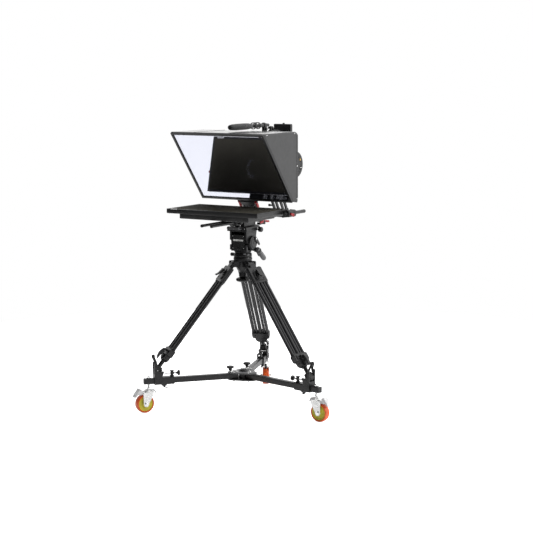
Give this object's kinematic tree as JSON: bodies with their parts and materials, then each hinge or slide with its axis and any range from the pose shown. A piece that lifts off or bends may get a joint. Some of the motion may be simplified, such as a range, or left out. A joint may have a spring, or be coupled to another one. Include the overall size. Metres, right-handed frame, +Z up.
{
  "type": "teleprompter",
  "caption": "Studio prompter: monitor tray, sloping beam-splitter glass and hood before a camera, on a fluid head, tripod and wheeled dolly.",
  "frame": {"origin": "on the floor, centred under the whole assembly", "axes": "+Z up, the reader stands at -Y and the camera looks along -Y, +X to the right seen from the reader"},
  "size_m": [0.9986, 1.0512, 1.519],
  "materials": {
    "black_anodised": "satin black anodised",
    "grey_metal": "satin grey",
    "grey_paint": "grey powder coat",
    "zinc_plate": "bright zinc plate",
    "polyurethane_tread": "orange-red cast polyurethane",
    "black_plastic": "matt black moulding",
    "red_anodised": "red anodised",
    "optical_glass": "coated beam-splitter glass",
    "screen_glass": "dark gloss display",
    "monitor_case": "satin black case",
    "hood_panel": "matt black panel",
    "windscreen_foam": "black foam",
    "camera_case": "textured black case"
  },
  "bodies": {
    "base": {"hub_housing": "grey_metal", "crown": "black_anodised", "head_base": "black_anodised", "arm_back": "black_anodised", "arm_left": "black_anodised", "arm_right": "black_anodised", "foot_holder_back": "black_anodised", "foot_holder_left": "black_anodised", "foot_holder_right": "black_anodised"},
    "caster_swivel_back": {"caster_fork_back": "zinc_plate"},
    "caster_wheel_back": {"caster_wheel_back": "polyurethane_tread"},
    "caster_brake_back": {"caster_brake_back": "grey_paint"},
    "caster_swivel_left": {"caster_fork_left": "zinc_plate"},
    "caster_wheel_left": {"caster_wheel_left": "polyurethane_tread"},
    "caster_brake_left": {"caster_brake_left": "grey_paint"},
    "caster_swivel_right": {"caster_fork_right": "zinc_plate"},
    "caster_wheel_right": {"caster_wheel_right": "polyurethane_tread"},
    "caster_brake_right": {"caster_brake_right": "grey_paint"},
    "hub_knob_left": {"hub_knob_left": "black_plastic"},
    "hub_knob_back": {"hub_knob_back": "black_plastic"},
    "foot_screw_back": {"foot_screw_back": "black_plastic"},
    "foot_screw_left": {"foot_screw_left": "black_plastic"},
    "foot_screw_right": {"foot_screw_right": "black_plastic"},
    "tie_down_knob": {"tie_down_knob": "black_plastic"},
    "leg_back": {"leg_upper_back": "black_anodised"},
    "leg_stage_back": {"leg_lower_back": "black_anodised"},
    "upper_lever_back": {"upper_lever_back": "black_plastic"},
    "lower_lever_back": {"lower_lever_back": "black_plastic"},
    "leg_left": {"leg_upper_left": "black_anodised"},
    "leg_stage_left": {"leg_lower_left": "black_anodised"},
    "upper_lever_left": {"upper_lever_left": "black_plastic"},
    "lower_lever_left": {"lower_lever_left": "black_plastic"},
    "leg_right": {"leg_upper_right": "black_anodised"},
    "leg_stage_right": {"leg_lower_right": "black_anodised"},
    "upper_lever_right": {"upper_lever_right": "black_plastic"},
    "lower_lever_right": {"lower_lever_right": "black_plastic"},
    "pan_lock_knob": {"pan_lock_knob": "black_plastic"},
    "head": {"head_body": "black_anodised"},
    "tilt_dial": {"tilt_dial": "grey_metal"},
    "pan_handle": {"pan_handle": "grey_metal"},
    "tilt_platform": {"tilt_platform": "black_anodised"},
    "plate_knob": {"plate_knob": "black_plastic"},
    "rig": {"slide_plate": "grey_metal", "rail_block": "black_anodised", "rail_rod_left": "black_anodised", "rail_rod_right": "black_anodised", "centre_bracket": "black_anodised", "camera_riser": "black_anodised", "camera_body": "camera_case", "microphone": "windscreen_foam"},
    "bracket_lever_left": {"bracket_lever_left": "red_anodised"},
    "bracket_lever_right": {"bracket_lever_right": "red_anodised"},
    "hood": {"glass_frame": "black_anodised", "beam_splitter": "optical_glass", "hood_shell": "hood_panel"},
    "tray": {"monitor_tray": "monitor_case", "monitor_screen": "screen_glass"},
    "side_rod": {"side_rod": "black_anodised"},
    "tray_screw": {"tray_screw": "red_anodised"},
    "flip_monitor": {"flip_monitor": "black_plastic"}
  },
  "joints": [
    {"name": "swivel_back", "type": "hinge", "parent": "base", "child": "caster_swivel_back", "pos_m": [-0.26696, 0.44507, 0.1], "axis": [0, 0, 1], "continuous": true},
    {"name": "wheel_spin_back", "type": "hinge", "parent": "caster_swivel_back", "child": "caster_wheel_back", "pos_m": [-0.28021, 0.46627, 0.05], "axis": [-0.848, -0.5299, 0], "continuous": true},
    {"name": "brake_pedal_back", "type": "hinge", "parent": "caster_swivel_back", "child": "caster_brake_back", "pos_m": [-0.28604, 0.4756, 0.107], "axis": [-0.848, -0.5299, 0], "range_deg": [0, 10]},
    {"name": "swivel_left", "type": "hinge", "parent": "base", "child": "caster_swivel_left", "pos_m": [-0.44523, -0.44307, 0.1], "axis": [0, 0, 1], "continuous": true},
    {"name": "wheel_spin_left", "type": "hinge", "parent": "caster_swivel_left", "child": "caster_wheel_left", "pos_m": [-0.45697, -0.46515, 0.05], "axis": [0.8829, -0.4695, 0], "continuous": true},
    {"name": "brake_pedal_left", "type": "hinge", "parent": "caster_swivel_left", "child": "caster_brake_left", "pos_m": [-0.46214, -0.47486, 0.107], "axis": [0.8829, -0.4695, 0], "range_deg": [0, 10]},
    {"name": "swivel_right", "type": "hinge", "parent": "base", "child": "caster_swivel_right", "pos_m": [0.41306, -0.15339, 0.1], "axis": [0, 0, 1], "continuous": true},
    {"name": "wheel_spin_right", "type": "hinge", "parent": "caster_swivel_right", "child": "caster_wheel_right", "pos_m": [0.43792, -0.15601, 0.05], "axis": [0.1045, 0.9945, 0], "continuous": true},
    {"name": "brake_pedal_right", "type": "hinge", "parent": "caster_swivel_right", "child": "caster_brake_right", "pos_m": [0.44886, -0.15715, 0.107], "axis": [0.1045, 0.9945, 0], "range_deg": [0, 10]},
    {"name": "hub_knob_turn_left", "type": "hinge", "parent": "base", "child": "hub_knob_left", "pos_m": [-0.1486, -0.10601, 0.2], "axis": [0, 0, 1], "continuous": true},
    {"name": "hub_knob_turn_back", "type": "hinge", "parent": "base", "child": "hub_knob_back", "pos_m": [-0.12338, 0.01965, 0.2], "axis": [0, 0, 1], "continuous": true},
    {"name": "foot_screw_turn_back", "type": "hinge", "parent": "base", "child": "foot_screw_back", "pos_m": [-0.21867, 0.302, 0.203], "axis": [-0.3198, 0.9475, 0], "continuous": true},
    {"name": "foot_screw_turn_left", "type": "hinge", "parent": "base", "child": "foot_screw_left", "pos_m": [-0.34548, -0.32972, 0.203], "axis": [-0.6607, -0.7507, 0], "continuous": true},
    {"name": "foot_screw_turn_right", "type": "hinge", "parent": "base", "child": "foot_screw_right", "pos_m": [0.26501, -0.12367, 0.203], "axis": [0.9804, -0.1968, 0], "continuous": true},
    {"name": "tie_down_turn", "type": "hinge", "parent": "base", "child": "tie_down_knob", "pos_m": [-0.09971, -0.05046, 0.7], "axis": [0, 0, 1], "continuous": true},
    {"name": "leg_swing_back", "type": "hinge", "parent": "base", "child": "leg_back", "pos_m": [-0.11762, 0.0026, 0.776], "axis": [0.9475, 0.3198, 0], "range_deg": [0, 15]},
    {"name": "leg_slide_back", "type": "slide", "parent": "leg_back", "child": "leg_stage_back", "axis": [0.1947, -0.5768, 0.7934], "range_m": [0, 0.03]},
    {"name": "upper_lever_open_back", "type": "hinge", "parent": "leg_back", "child": "upper_lever_back", "pos_m": [-0.13499, 0.05406, 0.7471], "axis": [0.9475, 0.3198, 0], "range_deg": [0, 50]},
    {"name": "lower_lever_open_back", "type": "hinge", "parent": "leg_back", "child": "lower_lever_back", "pos_m": [-0.23674, 0.35553, 0.33327], "axis": [0.9475, 0.3198, 0], "range_deg": [0, 50]},
    {"name": "leg_swing_left", "type": "hinge", "parent": "base", "child": "leg_left", "pos_m": [-0.13671, -0.0925, 0.776], "axis": [-0.7507, 0.6607, 0], "range_deg": [0, 15]},
    {"name": "leg_slide_left", "type": "slide", "parent": "leg_left", "child": "leg_stage_left", "axis": [0.4022, 0.457, 0.7934], "range_m": [0, 0.03]},
    {"name": "upper_lever_open_left", "type": "hinge", "parent": "leg_left", "child": "upper_lever_left", "pos_m": [-0.1726, -0.13328, 0.7471], "axis": [-0.7507, 0.6607, 0], "range_deg": [0, 50]},
    {"name": "lower_lever_open_left", "type": "hinge", "parent": "leg_left", "child": "lower_lever_left", "pos_m": [-0.3828, -0.37213, 0.33327], "axis": [-0.7507, 0.6607, 0], "range_deg": [0, 50]},
    {"name": "leg_swing_right", "type": "hinge", "parent": "base", "child": "leg_right", "pos_m": [-0.04481, -0.06148, 0.776], "axis": [-0.1968, -0.9804, 0], "range_deg": [0, 15]},
    {"name": "leg_slide_right", "type": "slide", "parent": "leg_right", "child": "leg_stage_right", "axis": [-0.5969, 0.1198, 0.7934], "range_m": [0, 0.03]},
    {"name": "upper_lever_open_right", "type": "hinge", "parent": "leg_right", "child": "upper_lever_right", "pos_m": [0.00845, -0.07218, 0.7471], "axis": [-0.1968, -0.9804, 0], "range_deg": [0, 50]},
    {"name": "lower_lever_open_right", "type": "hinge", "parent": "leg_right", "child": "lower_lever_right", "pos_m": [0.3204, -0.13479, 0.33327], "axis": [-0.1968, -0.9804, 0], "range_deg": [0, 50]},
    {"name": "pan_lock_turn", "type": "hinge", "parent": "base", "child": "pan_lock_knob", "pos_m": [-0.16971, -0.05046, 0.82], "axis": [1, 0, 0], "continuous": true},
    {"name": "pan", "type": "hinge", "parent": "base", "child": "head", "pos_m": [-0.09971, -0.05046, 0.838], "axis": [0, 0, 1], "continuous": true},
    {"name": "tilt_dial_turn", "type": "hinge", "parent": "head", "child": "tilt_dial", "pos_m": [-0.03971, -0.04546, 0.89], "axis": [1, 0, 0], "continuous": true},
    {"name": "pan_handle_swing", "type": "hinge", "parent": "head", "child": "pan_handle", "pos_m": [-0.02971, -0.01046, 0.848], "axis": [1, 0, 0], "range_deg": [0, 50]},
    {"name": "tilt", "type": "hinge", "parent": "head", "child": "tilt_platform", "pos_m": [-0.09971, -0.04546, 0.89], "axis": [1, 0, 0], "range_deg": [-20, 20]},
    {"name": "plate_knob_turn", "type": "hinge", "parent": "tilt_platform", "child": "plate_knob", "pos_m": [-0.02471, -0.00146, 0.9575], "axis": [1, 0, 0], "continuous": true},
    {"name": "plate_slide", "type": "slide", "parent": "tilt_platform", "child": "rig", "axis": [0, 1, 0], "range_m": [-0.04, 0.04]},
    {"name": "bracket_lever_turn_left", "type": "hinge", "parent": "rig", "child": "bracket_lever_left", "pos_m": [-0.15171, 0.00066, 1.10285], "axis": [1, 0, 0], "range_deg": [0, 45]},
    {"name": "bracket_lever_turn_right", "type": "hinge", "parent": "rig", "child": "bracket_lever_right", "pos_m": [-0.04771, 0.00066, 1.10285], "axis": [1, 0, 0], "range_deg": [0, 45]},
    {"name": "hood_tilt", "type": "hinge", "parent": "rig", "child": "hood", "pos_m": [-0.09971, 0.00066, 1.10285], "axis": [1, 0, 0], "range_deg": [0, 12]},
    {"name": "tray_slide", "type": "slide", "parent": "rig", "child": "tray", "axis": [0, 1, 0], "range_m": [-0.05, 0.02]},
    {"name": "side_rod_slide", "type": "slide", "parent": "tray", "child": "side_rod", "axis": [0, 1, 0], "range_m": [-0.04, 0.04]},
    {"name": "tray_screw_turn", "type": "hinge", "parent": "tray", "child": "tray_screw", "pos_m": [-0.38671, -0.15746, 1.07], "axis": [1, 0, 0], "continuous": true},
    {"name": "flip_monitor_tilt", "type": "hinge", "parent": "rig", "child": "flip_monitor", "pos_m": [-0.09971, 0.36454, 1.434], "axis": [-1, 0, 0], "range_deg": [0, 80]}
  ]
}
